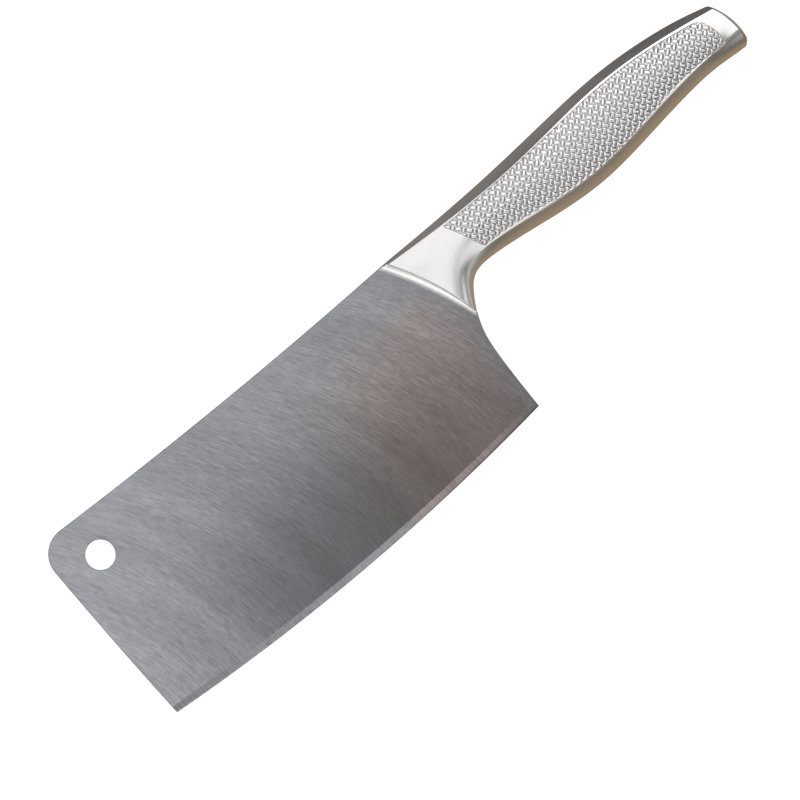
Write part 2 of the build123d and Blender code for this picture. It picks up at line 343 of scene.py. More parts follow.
def place_where(test, u, low, high, inset=0.0):
    """For each u, the place along the handle where a plan test changes from below nought."""
    low, high = np.full_like(u, low), np.full_like(u, high)
    for _ in range(HALVINGS):
        middle = (low + high) / 2
        point = handle_point(middle, u, inset)
        before = test(point[..., 0], point[..., 1]) < 0
        low, high = np.where(before, middle, low), np.where(before, high, middle)
    return (low + high) / 2


def face_place(points):
    """Place along and w across the face for points given in plan."""
    x, y = points[:, 0], points[:, 1]
    low, high = np.zeros(len(points)), np.full(len(points), len(STATIONS) - 1.0)
    for _ in range(HALVINGS):
        middle = (low + high) / 2
        sx, sy, bx, by = section_at(middle)[:4]
        further = (x - sx) * (by - sy) - (y - sy) * (bx - sx) < 0
        low, high = np.where(further, middle, low), np.where(further, high, middle)
    place = (low + high) / 2
    sx, sy, bx, by, half, spine_width, belly_width, soft = section_at(place)
    full = np.hypot(bx - sx, by - sy)
    crease = crease_at(place, half)
    reach = ((x - sx) * (bx - sx) + (y - sy) * (by - sy)) / full
    low, high = np.zeros(len(points)), np.ones(len(points))
    for _ in range(HALVINGS):
        w = (low + high) / 2
        short = face_curve(full, half, crease, spine_width, belly_width, soft, w)[0] < reach
        low, high = np.where(short, w, low), np.where(short, high, w)
    return place, (low + high) / 2


# ---------------------------------------------------------------- panel
BELLY_LINE = curve_through([PANEL_FRONT_LOW] + PANEL_BELLY + [PANEL_BACK_LOW], 160)
SPINE_LINE = curve_through([PANEL_FRONT_TOP] + PANEL_SPINE[::-1] + [PANEL_BACK_TOP], 160)


def inside_panel(x, y):
    """Distance in from the panel's border, less than nought outside it."""
    sides = []
    for line, sign in ((SPINE_LINE, 1), (BELLY_LINE, -1)):
        level = np.interp(x, line[:, 0], line[:, 1])
        pitch = np.interp(x, line[:, 0], np.gradient(line[:, 1], line[:, 0]))
        sides.append(sign * (level - y) / np.hypot(1, pitch))
    along = np.array(PANEL_FRONT_TOP) - np.array(PANEL_FRONT_LOW)
    along = along / np.linalg.norm(along)
    front = (x - PANEL_FRONT_LOW[0]) * along[1] - (y - PANEL_FRONT_LOW[1]) * along[0]
    back = BACK_RADIUS - np.hypot(np.maximum(x - BACK_CENTRE[0], 0), y - BACK_CENTRE[1])
    corners = [rounded_corner(front, side, PANEL_FRONT_RADIUS) for side in sides]
    corners += [rounded_corner(back, side, radius) for side, radius in zip(sides, PANEL_BACK_RADII)]
    return np.minimum.reduce(corners)


def weave(x, y):
    """Height of a plain weave of flat strands over its ground, from 0 to 1."""
    turn = math.radians(WEAVE_TURN)
    x, y = x - WEAVE_START[0], y - WEAVE_START[1]
    a = (x * math.cos(turn) + y * math.sin(turn)) / STRAND_SPACING
    b = (y * math.cos(turn) - x * math.sin(turn)) / STRAND_SPACING
    height = np.zeros_like(a)
    for along, across in ((a, b), (b, a)):
        for shift in (-1, 0, 1):  # the strand's own top, and those of its neighbours
            row = np.floor(across)
            odd = (row + (0 if across is b else 1)) % 2
            top = 2 * np.floor((along - odd) / 2 + 0.25) + odd + 0.5 + 2 * shift
            run = np.abs(along - top) * STRAND_SPACING / STRAND_RUN
            side = (across - row - 0.5) * STRAND_SPACING / STRAND_HALF
            crown = np.clip(1 - np.abs(side)**3, 0, 1) * np.clip(1 - run**6, 0, 1)
            height = np.maximum(height, crown)
    return height


# ---------------------------------------------------------------- meshes
def make_object(name, vertices, faces, sharp=None):
    """A mesh object from points in millimetres, with heights from the mid-plane. Edges that turn
    by more than sharp degrees stay sharp."""
    mesh = bpy.data.meshes.new(name)
    vertices = (np.asarray(vertices, float) + (0, 0, MIDDLE)) * MM
    mesh.from_pydata(vertices.tolist(), [], [list(face) for face in faces])
    mesh.validate()
    work = bmesh.new()
    work.from_mesh(mesh)
    bmesh.ops.remove_doubles(work, verts=work.verts, dist=TOUCHING)
    bmesh.ops.dissolve_degenerate(work, dist=TOUCHING, edges=work.edges)
    bmesh.ops.recalc_face_normals(work, faces=work.faces)
    if work.calc_volume(signed=True) < 0:
        bmesh.ops.reverse_faces(work, faces=work.faces)
    for face in work.faces:
        face.smooth = True
    work.to_mesh(mesh)
    work.free()
    if sharp is not None:
        mesh.set_sharp_from_angle(angle=math.radians(sharp))
    piece = bpy.data.objects.new(name, mesh)
    bpy.context.scene.collection.objects.link(piece)
    return piece


def grid_faces(rows, columns, first=0):
    """Quads of a grid of vertices stored row by row."""
    index = first + np.arange(rows * columns).reshape(rows, columns)
    quads = np.stack([index[:-1, :-1], index[:-1, 1:], index[1:, 1:], index[1:, :-1]], axis=-1)
    return quads.reshape(-1, 4).tolist()


def zip_lines(points, a, b):
    """Triangles between two lines of vertices that run the same way."""

    def lengths(line):
        steps = np.linalg.norm(np.diff(points[line], axis=0), axis=1)
        total = np.concatenate([[0], np.cumsum(steps)])
        return total / max(total[-1], 1e-9)

    fa, fb = lengths(a), lengths(b)
    i = j = 0
    faces = []
    while i < len(a) - 1 or j < len(b) - 1:
        if j == len(b) - 1 or (i < len(a) - 1 and fa[i + 1] <= fb[j + 1]):
            faces.append((a[i], a[i + 1], b[j]))
            i += 1
        else:
            faces.append((a[i], b[j + 1], b[j]))
            j += 1
    return faces


def border_lines(rows, columns, first=0):
    """The four sides of a grid as lines of vertices, one after the other."""
    index = first + np.arange(rows * columns).reshape(rows, columns)
    return index[0, :], index[:, -1], index[-1, ::-1], index[::-1, 0]


def spread(*parts):
    """Values of runs of (start, end, count), each without its last one, and the last end."""
    runs = [np.linspace(start, end, count, endpoint=False) for start, end, count in parts]
    return np.concatenate(runs + [[parts[-1][1]]])


def surface_normals(points):
    """Unit normals of a grid of points, on its upper side."""
    along, across = np.gradient(points, axis=0), np.gradient(points, axis=1)
    normal = np.cross(across, along)
    normal /= np.maximum(np.linalg.norm(normal, axis=-1, keepdims=True), 1e-12)
    return normal * np.sign(normal[..., 2:].mean())


def room_to_round(place, u):
    """How far short of the butt the surface stops, so that its rounding ends on the butt."""
    here = handle_point(place, u)
    along = handle_point(place + SMALL, u) - here
    before, after = np.maximum(u - SMALL, 0), np.minimum(u + SMALL, 3)
    across = handle_point(place, after) - handle_point(place, before)
    normal = np.cross(across, along)
    normal /= np.linalg.norm(normal, axis=-1, keepdims=True)
    normal *= np.sign(normal[len(u) // 2, 2])
    return BUTT_ROUND * (1 - (normal * outward_of(past_butt, here)).sum(-1))


def outer_surface():
    """The grid of points over the outside of the left shell, without its ends."""
    samples = np.linspace(0, 3, 301)
    mouth = place_where(lambda x, y: -ahead_of_mouth(x, y) - MOUTH_ROUND, samples, *MOUTH_RANGE)
    short = np.full_like(samples, BUTT_ROUND)
    for _ in range(BUTT_ROUNDS):
        butt = place_where(lambda x, y: past_butt(x, y) + short, samples, *BUTT_RANGE)
        short = (short + room_to_round(butt, samples)) / 2

    spine_place, spine_w = face_place(SPINE_LINE)
    belly_place, belly_w = face_place(BELLY_LINE)
    front_line = np.linspace(PANEL_FRONT_TOP, PANEL_FRONT_LOW, 40)
    back_line = arc(PANEL_BACK_TOP, PANEL_BACK_MID, PANEL_BACK_LOW, 40)
    front_place, front_w = face_place(front_line)
    back_place, back_w = face_place(back_line)

    # run counts the rows: 0 at the mouth, 1 to 2 on the panel, 3 at the butt. kind counts the
    # columns: 0 to 1 on the spine side, 2 to 3 on the panel, 4 to 5 on the belly side.
    rows = spread((0, 1, 30), (1, 2, int(PANEL_RUN / GRID_STEP)), (2, 3, 12))
    columns = np.concatenate([
        [0, 0.12, 0.25, 0.4, 0.55, 0.7, 0.82, 0.92, 0.975],
        [1, 1.12, 1.45],
        spread((2, 3, int(PANEL_SPAN / GRID_STEP)))[:-1],
        [3, 3.4, 3.85],
        [4, 4.03, 4.1, 4.2, 4.35, 4.5, 4.65, 4.8, 4.9, 5],
    ])
    kind = np.broadcast_to(columns, (len(rows), len(columns)))
    run = np.broadcast_to(rows[:, None], kind.shape)
    place = np.interp(run, [0, 1, 2, 3], FIRST_GUESS)
    for _ in range(GRID_ROUNDS):
        spine_edge = np.interp(place, spine_place, spine_w) - PANEL_MARGIN / FACE_WIDTH
        belly_edge = np.interp(place, belly_place, belly_w) + PANEL_MARGIN / FACE_WIDTH
        spine_edge = np.maximum(spine_edge, FACE_ENDS[0])
        belly_edge = np.minimum(belly_edge, FACE_ENDS[1])
        on_panel = spine_edge + (kind - 2) * (belly_edge - spine_edge)
        below_panel = belly_edge + (kind - 3) * (1 - belly_edge)
        face = np.where(kind > 3, below_panel, on_panel)
        face = np.where(kind < 2, (kind - 1) * spine_edge, face)
        u = np.where(kind < 1, kind, np.where(kind > 4, kind - 2, 1 + np.clip(face, 0, 1)))
        w = np.clip(u - 1, 0, 1)
        front = np.interp(w, front_w, front_place) - PANEL_MARGIN / STATION_LENGTH
        back = np.interp(w, back_w, back_place) + PANEL_MARGIN / STATION_LENGTH
        start, end = np.interp(u, samples, mouth), np.interp(u, samples, butt)
        place = front + (run - 1) * (back - front)
        place = np.where(run > 2, back + (run - 2) * (end - back), place)
        place = np.where(run < 1, start + run * (front - start), place)
    return handle_point(place, u)


def press_panel(points):
    """Sinks the grip panel into the surface and raises its weave."""
    normal = surface_normals(points)
    inside = inside_panel(points[..., 0], points[..., 1])
    depth = PANEL_DEPTH * smooth_step(0, PANEL_FLANK, inside)
    raised = STRAND_HEIGHT * weave(points[..., 0], points[..., 1])
    raised = raised * smooth_step(PANEL_FLANK / 2, PANEL_FLANK + 0.15, inside)
    return points + normal * (raised - depth)[..., None]


def end_rows(points, normal, outward, radius, steps):
    """Rows that round the edge of the last row of a grid over towards outward."""
    centre = points - radius * normal
    turn = np.arccos(np.clip((normal * outward).sum(-1, keepdims=True), -1, 1))
    rows = []
    for t in np.linspace(0, 1, steps + 1)[1:]:
        facing = (np.sin((1 - t) * turn) * normal + np.sin(t * turn) * outward) / np.sin(turn)
        rows.append(centre + radius * facing)
    return np.array(rows)


def rows_down(row, steps):
    """Rows straight down from a row of points to the seam."""
    rows = np.repeat(row[None], steps, axis=0)
    rows[..., 2] += np.linspace(0, 1, steps + 1)[1:, None] * (SEAM_HALF - row[:, 2])
    return rows


def outward_of(test, points):
    """Horizontal direction in which a plan test grows."""
    x, y = points[:, 0], points[:, 1]
    gx = (test(x + SMALL, y) - test(x - SMALL, y)) / (2 * SMALL)
    gy = (test(x, y + SMALL) - test(x, y - SMALL)) / (2 * SMALL)
    direction = np.stack([gx, gy, np.zeros_like(gx)], axis=-1)
    return direction / np.linalg.norm(direction, axis=-1, keepdims=True)


def shell_mesh():
    """Vertices and faces of the left shell as one closed form."""
    plain = outer_surface()
    normal = surface_normals(plain)
    outer = press_panel(plain)

    butt_out = outward_of(past_butt, plain[-1])
    butt = end_rows(plain[-1], normal[-1], butt_out, BUTT_ROUND, BUTT_STEPS)
    gap = past_butt(butt[-1][:, 0], butt[-1][:, 1])[:, None] * butt_out
    butt -= np.linspace(0, 1, BUTT_STEPS + 1)[1:, None, None] * gap

    mouth_out = outward_of(ahead_of_mouth, plain[0])
    mouth = end_rows(plain[0], normal[0], mouth_out, MOUTH_ROUND, MOUTH_STEPS)[::-1]
    shell = np.concatenate([mouth, outer, butt, rows_down(butt[-1], WALL_STEPS)])
    shell[..., 2] = np.maximum(shell[..., 2], SEAM_HALF)

    u = np.linspace(0, 3, INNER_COLUMNS)
    start = place_where(lambda x, y: -ahead_of_mouth(x, y), u, *MOUTH_RANGE, SHELL_WALL)
    end = place_where(lambda x, y: past_butt(x, y, BUTT_WALL), u, *INNER_BUTT_RANGE, SHELL_WALL)
    place = start + np.linspace(0, 1, INNER_ROWS)[:, None] * (end - start)
    inner = handle_point(place, np.broadcast_to(u, place.shape), SHELL_WALL)
    inner = np.concatenate([inner, rows_down(inner[-1], INNER_STEPS)])

    points = np.concatenate([shell.reshape(-1, 3), inner.reshape(-1, 3)])
    first = shell.shape[0] * shell.shape[1]
    faces = grid_faces(*shell.shape[:2])
    faces += [face[::-1] for face in grid_faces(*inner.shape[:2], first)]
    outer_sides = border_lines(*shell.shape[:2])
    inner_sides = border_lines(*inner.shape[:2], first)
    for a, b in zip(outer_sides, inner_sides):
        faces += zip_lines(points, a, b)
    rim = np.concatenate([shell[:, 0], shell[-1, 1:], shell[-2::-1, -1]])[:, :2]
    return points, faces, rim


def make_shells():
    points, faces, rim = shell_mesh()
    left = make_object("shell_left", points, faces)
    right = make_object("shell_right", points * (1, 1, -1), [face[::-1] for face in faces])
    for piece, node in ((left, "handle_shell_left"), (right, "handle_shell_right")):
        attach(piece, "root")
        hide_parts(node)
    return left, right, rim


# ---------------------------------------------------------------- blade
def corner_arc(before, corner, after, radius, count):
    """Points of the arc that rounds a corner between two nearly straight runs."""
    corner, before, after = (np.array(p, float) for p in (corner, before, after))
    a = (before - corner) / np.linalg.norm(before - corner)
    b = (after - corner) / np.linalg.norm(after - corner)
    half = math.acos(np.clip(a @ b, -1, 1)) / 2
    middle = (a + b) / np.linalg.norm(a + b)
    centre = corner + middle * radius / math.sin(half)
    start, end = corner + a * radius / math.tan(half), corner + b * radius / math.tan(half)
    mid = centre - middle * radius
    return arc(start, mid, end, count)


def offset_line(line, distance):
    """A line of plan points moved to its left by a distance."""
    along = np.gradient(line, axis=0)
    along /= np.linalg.norm(along, axis=1, keepdims=True)
    return line + distance * np.column_stack([-along[:, 1], along[:, 0]])


def blade_outline():
    """Plan lines of the blade, anticlockwise: heel, mouth below the tang, tang, mouth above it,
    and the spine with the toe."""
    heel = curve_through([HEEL] + HEEL_CURVE + [MOUTH[2]], 90)
    mouth = arc(MOUTH[2], MOUTH[1], MOUTH[0], 81)
    low = mouth[mouth[:, 1] < TANG_BOTTOM]
    high = mouth[mouth[:, 1] > TANG_TOP]
    r = TANG_RADIUS
    nip = r * (1 - math.sqrt(0.5))  # how far the corner's middle lies in from both sides
    low_corner = arc(
        (TANG_END - r, TANG_BOTTOM),
        (TANG_END - nip, TANG_BOTTOM + nip),
        (TANG_END, TANG_BOTTOM + r),
        9,
    )
    high_corner = low_corner[::-1] * (1, -1) + (0, TANG_TOP + TANG_BOTTOM)
    low_start = [(low[-1][0] + TANG_START, TANG_BOTTOM)]
    high_start = [(high[0][0] + TANG_START, TANG_TOP)]
    tang = np.concatenate([low_start, low_corner, high_corner, high_start])
    spine = arc(MOUTH[0], SPINE_DIP, TOE_TOP, 160)
    toe = arc(TOE_TOP, TOE_MID, TOE_LOW, 120)
    nose = corner_arc(spine[-12], TOE_TOP, toe[12], TOE_RADIUS, 17)
    spine = spine[spine[:, 0] > nose[0][0]]
    toe = toe[toe[:, 1] < nose[-1][1]]
    return heel, low, tang, high, np.concatenate([spine[1:], nose, toe])


def blade_mesh():
    """The plate with its grind, sharpened edge, worn corners and hang hole, as one closed form.
    Its faces are numbered 0 flat, 1 ground, 2 sharpened."""
    heel, low, tang, high, back = blade_outline()
    edge = arc(TOE_LOW, EDGE_BELLY, HEEL, EDGE_POINTS)
    edge_centre, edge_radius = circle_through(TOE_LOW, EDGE_BELLY, HEEL)

    def depth(line):
        """Distance in from the cutting edge."""
        return edge_radius - np.hypot(*(line - edge_centre).T)

    def cut(line, level):
        """Where a line that leaves the cutting edge reaches a distance in from it."""
        d = depth(line)
        k = np.argmax(d > level)
        t = (level - d[k - 1]) / (d[k] - d[k - 1])
        return line[k - 1] + t * (line[k] - line[k - 1])

    rise = back[::-1]  # from the toe's low end upwards
    levels = (SHARP_WIDTH, GRIND_WIDTH)
    heel_cuts = [cut(heel, level) for level in levels]
    toe_cuts = [cut(rise, level) for level in levels]
    heel_up = heel[depth(heel) > GRIND_WIDTH + GRIND_CLEAR]
    back_up = back[depth(back) > GRIND_WIDTH + GRIND_CLEAR]

    def band(level, start, end):
        """The line a distance in from the cutting edge."""
        radius = edge_radius - level
        middle = edge_centre + (np.array(EDGE_BELLY) - edge_centre) * radius / edge_radius
        return arc(tuple(start), tuple(middle), tuple(end), EDGE_POINTS)

    sharp_half = BLADE_HALF - GRIND_SLOPE * (GRIND_WIDTH - SHARP_WIDTH)
    tip_half = sharp_half - SHARP_SLOPE * SHARP_WIDTH
    sharp = band(SHARP_WIDTH, toe_cuts[0], heel_cuts[0])
    grind = band(GRIND_WIDTH, toe_cuts[1], heel_cuts[1])

    rim = np.concatenate([heel_up, low[1:], tang, high[:-1], back_up])
    inner = offset_line(rim, EDGE_BREAK)
    inside_neck = slice(len(heel_up), len(rim) - len(back_up))
    inner[inside_neck] = rim[inside_neck]
    hole_turn = np.linspace(0, 2 * math.pi, HOLE_POINTS + 1)[:-1]
    ring = np.column_stack([np.cos(hole_turn), np.sin(hole_turn)])
    hole = HOLE_CENTRE + HOLE_RADIUS * ring
    hole_top = HOLE_CENTRE + (HOLE_RADIUS + HOLE_CHAMFER) * ring

    work = bmesh.new()

    def add(line, z):
        return [work.verts.new((x, y, z)) for x, y in line]

    def around(line):
        """The edges of a closed line, made where they are missing."""
        pairs = list(zip(line, line[1:] + line[:1]))
        return [work.edges.get(pair) or work.edges.new(pair) for pair in pairs]

    def strip(a, b, closed=False, finish=0):
        count = len(a) if closed else len(a) - 1
        for i in range(count):
            j = (i + 1) % len(a)
            face = work.faces.new((a[i], a[j], b[j], b[i]))
            face.material_index = finish

    sides = []
    for sign in (1, -1):
        tip = add(edge, sign * tip_half)
        bevel = add(sharp, sign * sharp_half)
        shoulder = add(grind, sign * BLADE_HALF)
        outer = add(rim, sign * (BLADE_HALF - EDGE_BREAK_DEPTH))
        flat = add(inner, sign * BLADE_HALF)
        bore = add(hole, sign * (BLADE_HALF - HOLE_CHAMFER))
        mouth = add(hole_top, sign * BLADE_HALF)
        strip(tip, bevel, finish=2)
        strip(bevel, shoulder, finish=1)
        strip(outer, flat)
        strip(bore, mouth, closed=True)
        work.faces.new((shoulder[-1], outer[0], flat[0]))
        work.faces.new((shoulder[0], flat[-1], outer[-1]))
        edges = around(shoulder + flat) + around(mouth)
        bmesh.ops.triangle_fill(work, use_beauty=True, use_dissolve=False, edges=edges)
        sides.append((tip, bevel, shoulder, outer, bore))
    tip_a, bevel_a, shoulder_a, outer_a, bore_a = sides[0]
    tip_b, bevel_b, shoulder_b, outer_b, bore_b = sides[1]
    strip(tip_a, tip_b)
    strip(outer_a, outer_b)
    strip(bore_a, bore_b, closed=True)
    work.faces.new((tip_a[-1], bevel_a[-1], shoulder_a[-1], outer_a[0],
                    outer_b[0], shoulder_b[-1], bevel_b[-1], tip_b[-1]))
    work.faces.new((tip_b[0], bevel_b[0], shoulder_b[0], outer_b[-1],
                    outer_a[-1], shoulder_a[0], bevel_a[0], tip_a[0]))
    bmesh.ops.recalc_face_normals(work, faces=work.faces)
    mesh = bpy.data.meshes.new("blade_steel")
    to_metres = Matrix.Scale(MM, 4) @ Matrix.Translation((0, 0, MIDDLE))
    bmesh.ops.transform(work, matrix=to_metres, verts=work.verts)
    work.to_mesh(mesh)
    work.free()
    return mesh


def make_blade():
    piece = bpy.data.objects.new("blade_plate", blade_mesh())
    bpy.context.scene.collection.objects.link(piece)
    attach(piece, "root")
    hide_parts("blade")
    return piece


# ---------------------------------------------------------------- welds
def loft_mesh(rows):
    """Faces of a closed tube through rows of equal polygons."""
    rows = np.asarray(rows)
    count, sides = rows.shape[:2]
    faces = []
    for i in range(count - 1):
        for j in range(sides):
            k = (j + 1) % sides
            faces.append((i * sides + j, i * sides + k, (i + 1) * sides + k, (i + 1) * sides + j))
    faces.append(list(range(sides))[::-1])
    faces.append([(count - 1) * sides + j for j in range(sides)])
    return rows.reshape(-1, 3), faces


def make_neck_welds():
    """The polished ramps on both faces of the blade, hollow like a fillet."""
    front, back = offset_line(arc(*RAMP, RAMP_POINTS), -RAMP_SPREAD), arc(*MOUTH, RAMP_POINTS)
    length = np.linalg.norm(front[-1] - front[0])
    across = np.array([front[0][1] - front[-1][1], front[-1][0] - front[0][0]]) / length
    steps = np.linspace(0, 1, RAMP_STEPS + 1)
    climb = 0.45 * steps + 0.55 * steps**1.7  # steeper towards the mouth
    rows = []
    for f, b, where in zip(front, back, np.linspace(0, 1, RAMP_POINTS)):
        end = min(where, 1 - where) * length
        full = 0.1 + 0.9 * math.sqrt(1 - (1 - min(end / RAMP_ENDS, 1)) ** 2)
        rise = RAMP_SLOPE * full * abs((b - f) @ across)
        line = [(*(f + s * (b - f)), BLADE_HALF + rise * c) for s, c in zip(steps, climb)]
        line += [(*b, ROOT_HALF), (*f, ROOT_HALF)]
        rows.append(line)
    pieces = []
    for side, name in ((1, "neck_weld_left"), (-1, "neck_weld_right")):
        points, faces = loft_mesh(rows)
        piece = make_object(name, points * (1, 1, side), faces, sharp=WELD_CREASE)
        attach(piece, "root")
        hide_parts("neck_weld")
        pieces.append(piece)
    return pieces


def make_seam(rim):
    """The ground seam weld, flush with both shells, along the spine, round the butt and back.
    Points of the rim that don't move on are left out."""
    path = [rim[0]]
    heading = np.array([1.0, 0.0])
    for point in rim[1:]:
        step = point - path[-1]
        if np.linalg.norm(step) > SEAM_STEP and step @ heading > 0:
            path.append(point)
            heading = step
    path = np.array(path)
    inner = offset_line(path, -SHELL_WALL)
    rows = []
    for p, q in zip(path, inner):
        line = [(*p, z) for z in (-SEAM_HALF, 0.0, SEAM_HALF)] + [(*q, SEAM_HALF), (*q, -SEAM_HALF)]
        rows.append(line)
    points, faces = loft_mesh(rows)
    piece = make_object("seam_bead", points, faces, sharp=WELD_CREASE)
    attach(piece, "root")
    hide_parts("seam_weld")
    return piece


# ---------------------------------------------------------------- materials
class Nodes:
    """A short way to write a node tree."""

    def __init__(self, tree):
        self.tree = tree

    def add(self, kind, inputs=(), **settings):
        node = self.tree.nodes.new(kind)
        for key, value in settings.items():
            setattr(node, key, value)
        for key, value in dict(inputs).items():
            self.put(node.inputs[key], value)
        return node

    def put(self, socket, value):
        if isinstance(value, bpy.types.NodeSocket):
            self.tree.links.new(value, socket)
        else:
            socket.default_value = value

    def math(self, operation, a, b=0.0, c=0.0):
        node = self.add("ShaderNodeMath", operation=operation)
        for socket, value in zip(node.inputs, (a, b, c)):
            self.put(socket, value)
        return node.outputs[0]

    def ramp(self, value, low, high, out_low=0.0, out_high=1.0):
        """Turns low to high into out_low to out_high, smoothly."""
        inputs = {0: value, 1: low, 2: high, 3: out_low, 4: out_high}
        return self.add("ShaderNodeMapRange", inputs, interpolation_type="SMOOTHSTEP").outputs[0]

    def noise(self, scale, turn=0.0, detail=3.0, rough=0.5, shift=(0, 0, 0)):
        """Noise stretched along a direction in plan; scale gives features per millimetre."""
        coordinates = self.add("ShaderNodeTexCoord").outputs["Object"]
        inputs = {"Vector": coordinates, "Angle": math.radians(-turn)}
        turned = self.add("ShaderNodeVectorRotate", inputs, rotation_type="Z_AXIS").outputs[0]
        inputs = {"Vector": turned, "Location": shift, "Scale": [s / MM for s in scale]}
        return self.speckle(self.add("ShaderNodeMapping", inputs).outputs[0], detail, rough)

    def speckle(self, place, detail, rough):
        inputs = {"Vector": place, "Scale": 1.0, "Detail": detail, "Roughness": rough}
        return self.add("ShaderNodeTexNoise", inputs).outputs["Fac"]

    def place(self):
        """Where on the piece a point is, in metres, as three values."""
        coordinates = self.add("ShaderNodeTexCoord").outputs["Object"]
        return self.add("ShaderNodeSeparateXYZ", {0: coordinates}).outputs

    def mix(self, factor, a, b, blend="MIX"):
        node = self.add("ShaderNodeMix", data_type="RGBA", blend_type=blend)
        self.put(node.inputs["Factor"], factor)
        self.put(node.inputs[6], a)
        self.put(node.inputs[7], b)
        return node.outputs[2]

    def bump(self, height, distance, strength):
        inputs = {"Height": height, "Strength": strength, "Distance": distance * MM}
        return self.add("ShaderNodeBump", inputs).outputs[0]


class Surface(Nodes):
    """A material and its shader's inputs."""

    def __init__(self, name):
        self.material = bpy.data.materials.new(name)
        self.material.use_nodes = True
        super().__init__(self.material.node_tree)
        self.shader = self.tree.nodes["Principled BSDF"]

    def set(self, **inputs):
        for key, value in inputs.items():
            self.put(self.shader.inputs[key.replace("_", " ")], value)


def grey(value, red=1.0, green=1.0, blue=1.0):
    """A grey, or one that its last three values tint."""
    return (value * red, value * green, value * blue, 1.0)


# The brushing on the blade runs in shallow arcs: along one of them, x + GRAIN_LEAN * y
# + GRAIN_CURL * y * y stays the same, in millimetres.
GRAIN_LEAN, GRAIN_CURL = 0.38, 0.00425


def blade_material(name, dark, light, rough):
    """Brushed steel between two tones of grey."""
    n = Surface(name)
    place = n.place()
    x, y = n.math("DIVIDE", place["X"], MM), n.math("DIVIDE", place["Y"], MM)
    lean = n.math("MULTIPLY_ADD", y, GRAIN_CURL, GRAIN_LEAN)
    across = n.math("MULTIPLY_ADD", y, lean, x)
    pitch = n.math("MULTIPLY_ADD", y, 2 * GRAIN_CURL, GRAIN_LEAN)

    def streaks(width, length, detail, shift):
        """Noise drawn out along the brushing. Sizes are in millimetres."""
        inputs = {"X": n.math("DIVIDE", across, width), "Y": n.math("DIVIDE", y, length)}
        inputs["Z"] = shift
        return n.speckle(n.add("ShaderNodeCombineXYZ", inputs).outputs[0], detail, 0.6)

    fine = streaks(width=0.30, length=5.5, detail=3.0, shift=0.0)
    broad = streaks(width=1.3, length=25.0, detail=2.0, shift=5.0)
    bands = streaks(width=11.0, length=90.0, detail=1.0, shift=9.0)
    cloud = n.noise((0.016, 0.016, 0.01), detail=2, shift=(11, 2, 0))
    streak = n.math("ADD", n.math("MULTIPLY", fine, 0.8), n.math("MULTIPLY", broad, 0.2))
    blot = n.noise((0.5, 0.5, 0.3), rough=0.6, shift=(3, 8, 0))
    streak = n.math("ADD", n.math("MULTIPLY", streak, 0.85), n.math("MULTIPLY", blot, 0.15))
    tone = n.mix(n.ramp(streak, 0.35, 0.65), grey(dark), grey(light))
    band_tone = n.mix(n.ramp(bands, 0.35, 0.65), grey(0.94), grey(1.06))
    tone = n.mix(1.0, tone, band_tone, "MULTIPLY")
    # A warm reflection is painted into the blade's colour in front of the neck.
    warm_reflection = n.math("MULTIPLY", n.ramp(x, -70, -20), n.ramp(x, 25, 0))
    warm_reflection = n.math("MULTIPLY", warm_reflection, n.ramp(y, 32, 14))
    hue = n.math("ADD", n.math("MULTIPLY", warm_reflection, 0.55), n.math("MULTIPLY", cloud, 0.8))
    tint = n.mix(n.ramp(hue, 0.45, 1.05), grey(1, 0.975, 0.99, 1.055), grey(1, 1.12, 0.98, 0.94))
    n.set(Base_Color=n.mix(1.0, tone, tint, "MULTIPLY"), Metallic=1.0)
    n.set(Roughness=n.ramp(streak, 0.3, 0.7, rough + 0.02, rough - 0.02), Anisotropic=0.3)
    n.set(Tangent=n.add("ShaderNodeCombineXYZ", {"X": 1.0, "Y": pitch}).outputs[0])
    n.set(Normal=n.bump(fine, 0.01, 0.5))
    return n.material


def handle_material():
    """Satin steel, smoother on the grip than on the neck, with painted shade in the hollows of the
    weave.
    """
    n = Surface("satin handle steel")
    fine = n.noise((0.3, 3.0, 1.0), turn=90)
    cloud = n.noise((0.05, 0.05, 0.05), detail=2, shift=(5, 1, 0))
    steel = n.mix(n.ramp(fine, 0.3, 0.7), grey(0.74, 1.0, 0.99, 0.98), grey(0.79, 1.0, 0.99, 0.98))
    hollow = n.add("ShaderNodeNewGeometry").outputs["Pointiness"]
    # Painted shade: concave places, found by the mesh's pointiness, turn near black in the weave's
    # gaps and at the foot of the panel's step.
    n.set(Base_Color=n.mix(n.ramp(hollow, 0.43, 0.497), grey(0.07), steel))
    along = n.math("DIVIDE", n.place()["X"], MM)
    rough = n.math("ADD", n.ramp(cloud, 0.3, 0.7, 0.27, 0.33), n.ramp(along, 26, 36, 0.0, -0.09))
    n.set(Metallic=1.0, Roughness=rough)
    n.set(Normal=n.bump(fine, 0.002, 0.3))
    return n.material


def weld_material():
    """Polished, and duller where it runs out on the blade."""
    n = Surface("polished weld")
    fine = n.noise((1.5, 1.5, 1.5))
    steel = n.mix(fine, grey(0.82, 1.0, 0.99, 0.96), grey(0.90, 1.0, 0.99, 0.96))
    height = n.math("DIVIDE", n.place()["Z"], MM)
    height = n.math("ABSOLUTE", n.math("SUBTRACT", height, MIDDLE))
    foot = n.math("ADD", height, n.math("MULTIPLY", fine, 0.3))
    n.set(Base_Color=n.mix(n.ramp(foot, BLADE_HALF + 0.2, BLADE_HALF + 0.75), grey(0.33), steel))
    n.set(Metallic=1.0, Roughness=n.ramp(fine, 0.3, 0.7, 0.12, 0.2))
    return n.material


def inner_material():
    n = Surface("raw inner steel")
    fine = n.noise((0.8, 0.8, 0.8), detail=4, rough=0.6)
    n.set(Base_Color=n.mix(fine, grey(0.32), grey(0.5)), Metallic=1.0)
    n.set(Roughness=n.ramp(fine, 0.3, 0.7, 0.45, 0.6), Normal=n.bump(fine, 0.05, 0.5))
    return n.material


